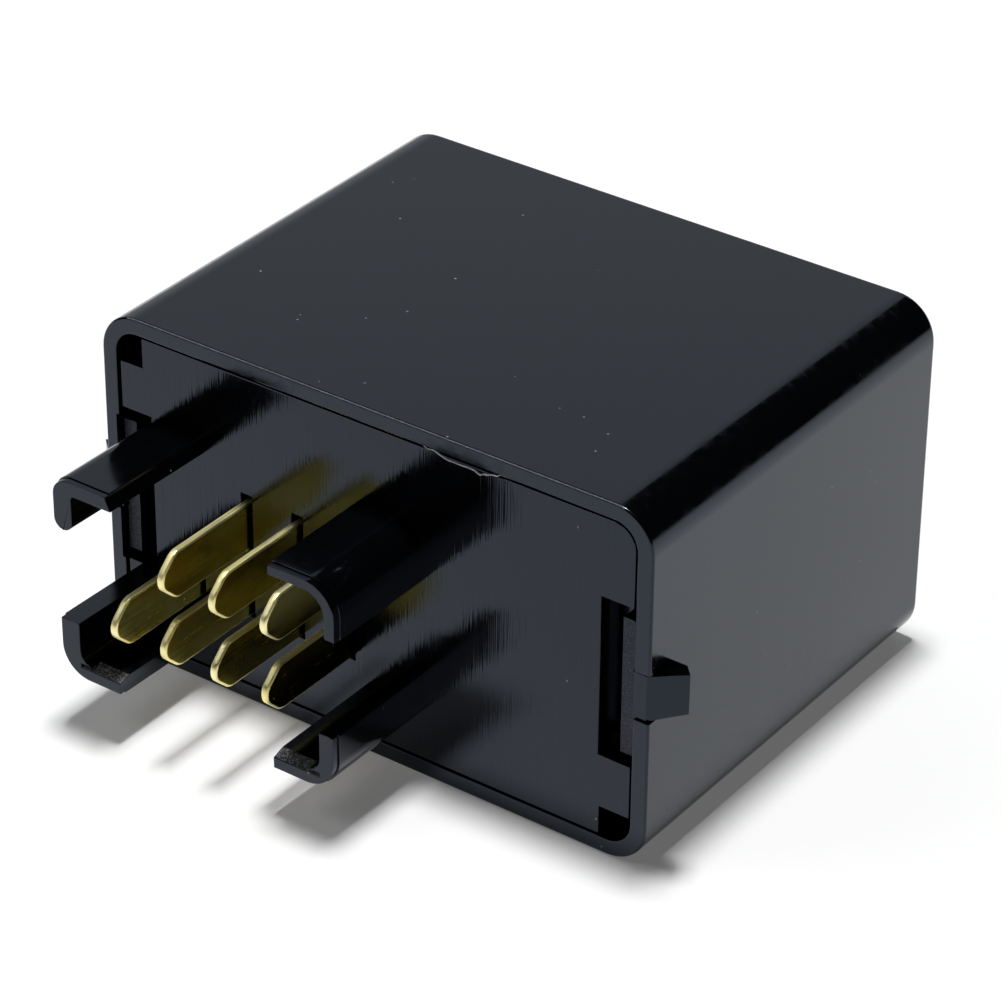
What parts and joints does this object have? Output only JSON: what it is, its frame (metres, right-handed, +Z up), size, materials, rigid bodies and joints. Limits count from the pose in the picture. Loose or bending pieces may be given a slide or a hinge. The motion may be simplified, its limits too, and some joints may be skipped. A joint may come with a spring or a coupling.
{
  "type": "automotive relay",
  "caption": "Plug-in automotive relay: rounded dark case, glossy base plate with flat brass blades, L-shaped guide prongs and side latch noses.",
  "frame": {"origin": "centre of the case's underside", "axes": "+X across the case, -Y out of the terminal face, +Z up"},
  "size_m": [0.0646, 0.0576, 0.0362],
  "materials": {
    "case_plastic": "satin moulded plastic, dark slate grey, lightly scuffed",
    "base_plastic": "glossy black moulded plastic",
    "blade_brass": "stamped brass with coined edges",
    "board_laminate": "green solder-masked laminate",
    "chip_resin": "black moulding resin",
    "capacitor_sleeve": "aluminium can in a dark sleeve",
    "resistor_body": "lacquered ceramic body",
    "diode_glass": "amber glass body",
    "tinned_wire": "tinned wire",
    "relay_plastic": "black moulded plastic",
    "plated_iron": "zinc-plated soft iron",
    "bobbin_plastic": "natural moulded plastic",
    "copper_wire": "enamelled copper winding",
    "spring_bronze": "bronze strip",
    "contact_silver": "silver alloy"
  },
  "bodies": {
    "housing": {"case": "case_plastic", "base_plate": "base_plastic", "terminal_1": "blade_brass", "terminal_2": "blade_brass", "terminal_3": "blade_brass", "terminal_4": "blade_brass", "terminal_5": "blade_brass", "terminal_6": "blade_brass", "terminal_7": "blade_brass", "circuit_board": "board_laminate", "control_chip": "chip_resin", "smoothing_capacitor": "capacitor_sleeve", "timing_capacitor": "capacitor_sleeve", "resistor_1": "resistor_body", "resistor_2": "resistor_body", "resistor_3": "resistor_body", "flasher_diode": "diode_glass", "cutoff_diode": "diode_glass", "transistor": "chip_resin", "shunt_link": "tinned_wire", "flasher_relay_base": "relay_plastic", "flasher_yoke": "plated_iron", "flasher_core": "plated_iron", "flasher_bobbin": "bobbin_plastic", "flasher_coil": "copper_wire", "flasher_coil_pins": "tinned_wire", "flasher_open_contact_strip": "spring_bronze", "flasher_open_contact": "contact_silver", "flasher_closed_contact_strip": "spring_bronze", "flasher_closed_contact": "contact_silver", "cutoff_relay_base": "relay_plastic", "cutoff_yoke": "plated_iron", "cutoff_core": "plated_iron", "cutoff_bobbin": "bobbin_plastic", "cutoff_coil": "copper_wire", "cutoff_coil_pins": "tinned_wire", "cutoff_open_contact_strip": "spring_bronze", "cutoff_open_contact": "contact_silver", "cutoff_closed_contact_strip": "spring_bronze", "cutoff_closed_contact": "contact_silver"},
    "flasher_armature_set": {"flasher_armature": "plated_iron", "flasher_contact_spring": "spring_bronze", "flasher_moving_contact": "contact_silver"},
    "cutoff_armature_set": {"cutoff_armature": "plated_iron", "cutoff_contact_spring": "spring_bronze", "cutoff_moving_contact": "contact_silver"}
  },
  "joints": [
    {"name": "flasher_armature_tilt", "type": "hinge", "parent": "housing", "child": "flasher_armature_set", "pos_m": [-0.01836, 0.0117, 0.02958], "axis": [-1, 0, 0], "range_deg": [0, 3], "stiffness_Nm_per_rad": 0.02, "springref_deg": -5.73},
    {"name": "cutoff_armature_tilt", "type": "hinge", "parent": "housing", "child": "cutoff_armature_set", "pos_m": [0.01836, 0.0117, 0.02958], "axis": [-1, 0, 0], "range_deg": [0, 3], "stiffness_Nm_per_rad": 0.02, "springref_deg": -5.73}
  ]
}
